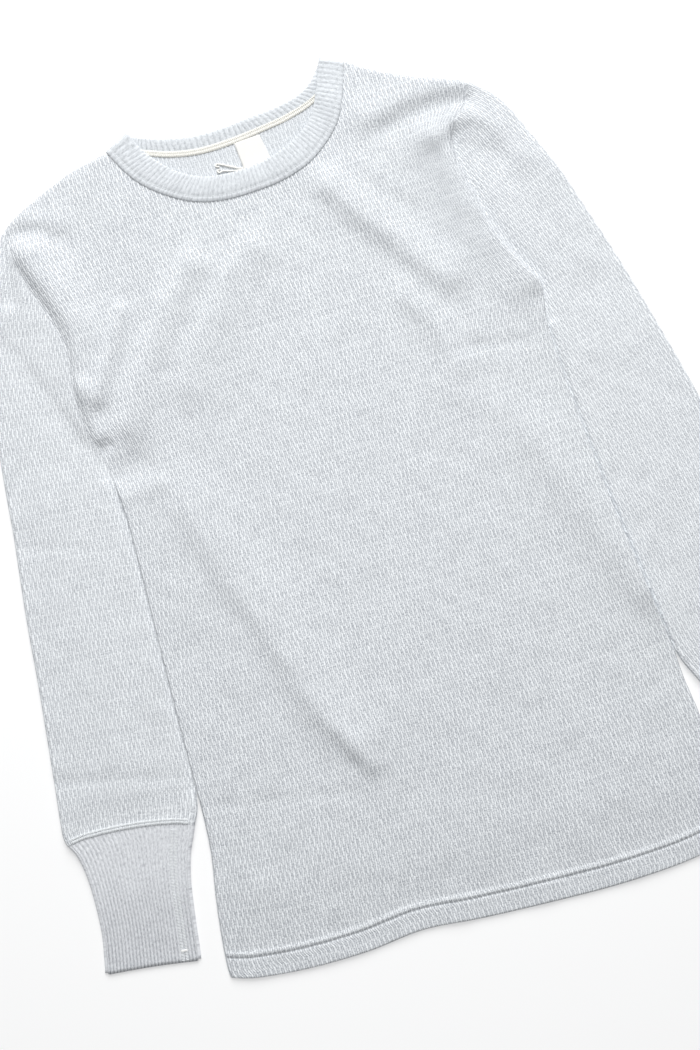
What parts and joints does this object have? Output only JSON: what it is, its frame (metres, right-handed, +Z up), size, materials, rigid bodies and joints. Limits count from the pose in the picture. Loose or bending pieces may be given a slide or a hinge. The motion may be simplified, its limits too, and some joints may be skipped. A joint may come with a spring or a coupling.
{
  "type": "thermal top",
  "caption": "Long-sleeved crew-neck thermal top in heather-grey tuck-rib knit with ribbed neckband and cuffs, laid flat with its front up.",
  "frame": {"origin": "centre of the top's bounding box, on the surface it lies on", "axes": "+Z up out of the surface, +Y from the hem towards the neck, +X from the wearer's right sleeve to the left one"},
  "size_m": [0.673, 0.7718, 0.0106],
  "materials": {
    "knit": "matte heather-grey tuck-rib knit",
    "rib": "matte heather-grey rib knit",
    "tape": "off-white cotton tape",
    "woven": "off-white woven label, bare"
  },
  "bodies": {
    "root": {"front": "knit", "back": "knit", "sleeve_left": "knit", "sleeve_right": "knit", "cuff_left": "rib", "cuff_right": "rib", "neckband": "rib", "neck_tape": "tape", "label": "woven"}
  },
  "joints": []
}
